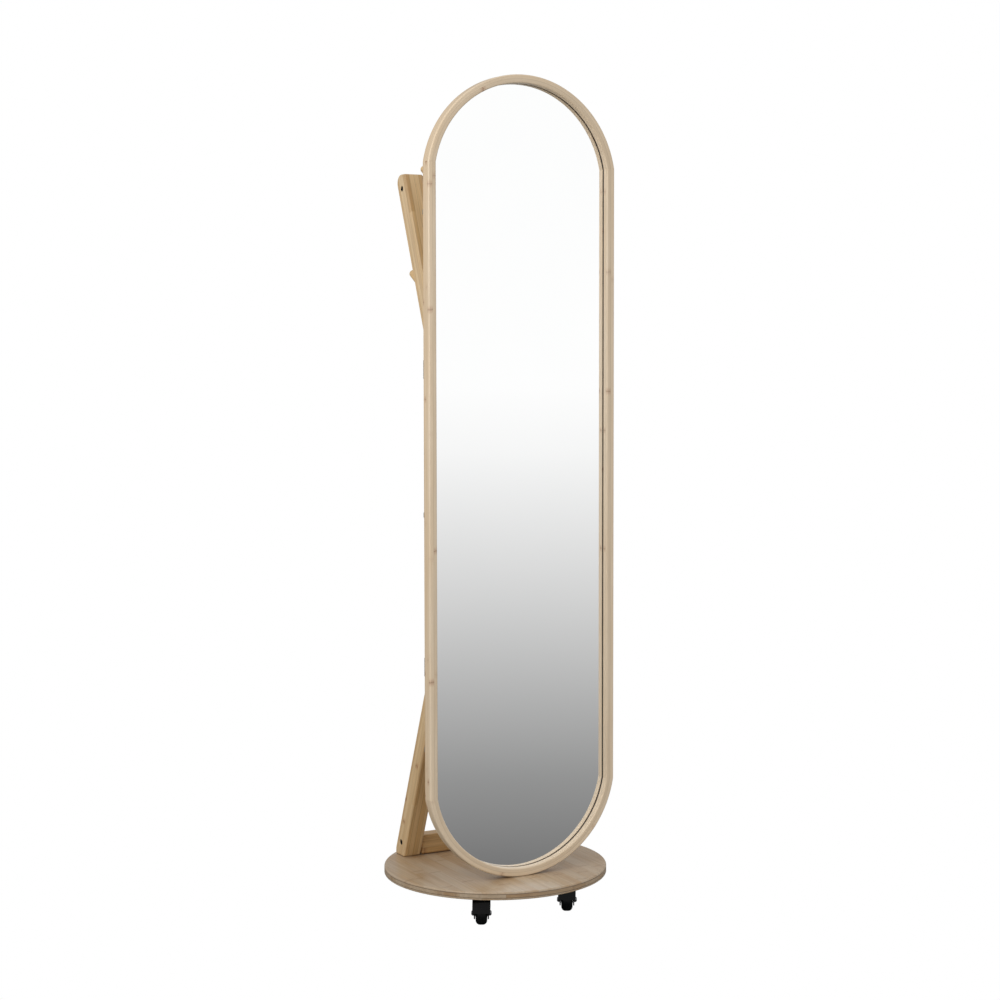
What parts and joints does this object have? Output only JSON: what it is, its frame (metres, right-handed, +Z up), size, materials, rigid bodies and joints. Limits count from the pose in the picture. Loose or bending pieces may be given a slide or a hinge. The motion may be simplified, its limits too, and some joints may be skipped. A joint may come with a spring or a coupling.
{
  "type": "floor mirror",
  "caption": "Tall round-ended mirror in a slim wooden frame on a round swivel-caster base, held at the back by slanting legs and slanting arms with coat pegs.",
  "frame": {"origin": "middle of the round base, on the floor under the casters", "axes": "+Z up; the mirror faces -Y; +X to the right of someone who looks at the mirror"},
  "size_m": [0.4349, 0.435, 1.6],
  "materials": {
    "frame_bamboo": "satin",
    "base_bamboo": "satin",
    "limb_bamboo": "satin",
    "dowel": "matte",
    "mirror": "polished",
    "tape": "matte",
    "foam": "matte",
    "board": "matte",
    "caster_plastic": "satin",
    "tyre": "matte",
    "hub": "satin",
    "black_steel": "satin",
    "zinc": "satin"
  },
  "bodies": {
    "stand": {"arch_bottom": "frame_bamboo", "arch_top": "frame_bamboo", "arm_left": "limb_bamboo", "arm_peg_left": "limb_bamboo", "arm_peg_right": "limb_bamboo", "arm_right": "limb_bamboo", "back_board": "board", "barrel_nuts": "zinc", "base_disc": "base_bamboo", "board_clips": "zinc", "caster_plate_front_left": "caster_plastic", "caster_plate_front_right": "caster_plastic", "caster_plate_rear_left": "caster_plastic", "caster_plate_rear_right": "caster_plastic", "caster_screws": "zinc", "clip_screws": "zinc", "cross_bolts": "black_steel", "foam_sheet": "foam", "foot_rail": "limb_bamboo", "foot_screws": "zinc", "frame_foot_screws": "zinc", "glazing_tape": "tape", "head_rail": "limb_bamboo", "leg_left": "limb_bamboo", "leg_right": "limb_bamboo", "limb_screws": "zinc", "mirror_glass": "mirror", "post_left": "limb_bamboo", "post_right": "limb_bamboo", "post_screws": "zinc", "rail_dowels": "dowel", "rail_peg_left": "limb_bamboo", "rail_peg_middle": "limb_bamboo", "rail_peg_right": "limb_bamboo", "stile_left": "frame_bamboo", "stile_right": "frame_bamboo", "stile_screws": "zinc", "strap_lower": "black_steel", "strap_upper": "black_steel"},
    "swivel_front_left": {"caster_fork_front_left": "caster_plastic", "caster_axle_front_left": "black_steel", "caster_nut_front_left": "black_steel"},
    "wheel_front_left": {"caster_tyre_front_left": "tyre", "caster_hub_front_left": "hub"},
    "swivel_front_right": {"caster_fork_front_right": "caster_plastic", "caster_axle_front_right": "black_steel", "caster_nut_front_right": "black_steel"},
    "wheel_front_right": {"caster_tyre_front_right": "tyre", "caster_hub_front_right": "hub"},
    "swivel_rear_left": {"caster_fork_rear_left": "caster_plastic", "caster_axle_rear_left": "black_steel", "caster_nut_rear_left": "black_steel"},
    "wheel_rear_left": {"caster_tyre_rear_left": "tyre", "caster_hub_rear_left": "hub"},
    "swivel_rear_right": {"caster_fork_rear_right": "caster_plastic", "caster_axle_rear_right": "black_steel", "caster_nut_rear_right": "black_steel"},
    "wheel_rear_right": {"caster_tyre_rear_right": "tyre", "caster_hub_rear_right": "hub"}
  },
  "joints": [
    {"name": "swivel_turn_front_left", "type": "hinge", "parent": "stand", "child": "swivel_front_left", "pos_m": [-0.089, -0.109, 0.0525], "axis": [0, 0, 1], "continuous": true},
    {"name": "wheel_spin_front_left", "type": "hinge", "parent": "swivel_front_left", "child": "wheel_front_left", "pos_m": [-0.09385, -0.11775, 0.022], "axis": [0.8746, -0.4848, 0], "continuous": true},
    {"name": "swivel_turn_front_right", "type": "hinge", "parent": "stand", "child": "swivel_front_right", "pos_m": [0.099, -0.109, 0.0525], "axis": [0, 0, 1], "continuous": true},
    {"name": "wheel_spin_front_right", "type": "hinge", "parent": "swivel_front_right", "child": "wheel_front_right", "pos_m": [0.09385, -0.11757, 0.022], "axis": [0.8572, -0.515, 0], "continuous": true},
    {"name": "swivel_turn_rear_left", "type": "hinge", "parent": "stand", "child": "swivel_rear_left", "pos_m": [-0.089, 0.11, 0.0525], "axis": [0, 0, 1], "continuous": true},
    {"name": "wheel_spin_rear_left", "type": "hinge", "parent": "swivel_rear_left", "child": "wheel_rear_left", "pos_m": [-0.08415, 0.11875, 0.022], "axis": [-0.8746, 0.4848, 0], "continuous": true},
    {"name": "swivel_turn_rear_right", "type": "hinge", "parent": "stand", "child": "swivel_rear_right", "pos_m": [0.099, 0.11, 0.0525], "axis": [0, 0, 1], "continuous": true},
    {"name": "wheel_spin_rear_right", "type": "hinge", "parent": "swivel_rear_right", "child": "wheel_rear_right", "pos_m": [0.10385, 0.11875, 0.022], "axis": [-0.8746, 0.4848, 0], "continuous": true}
  ]
}
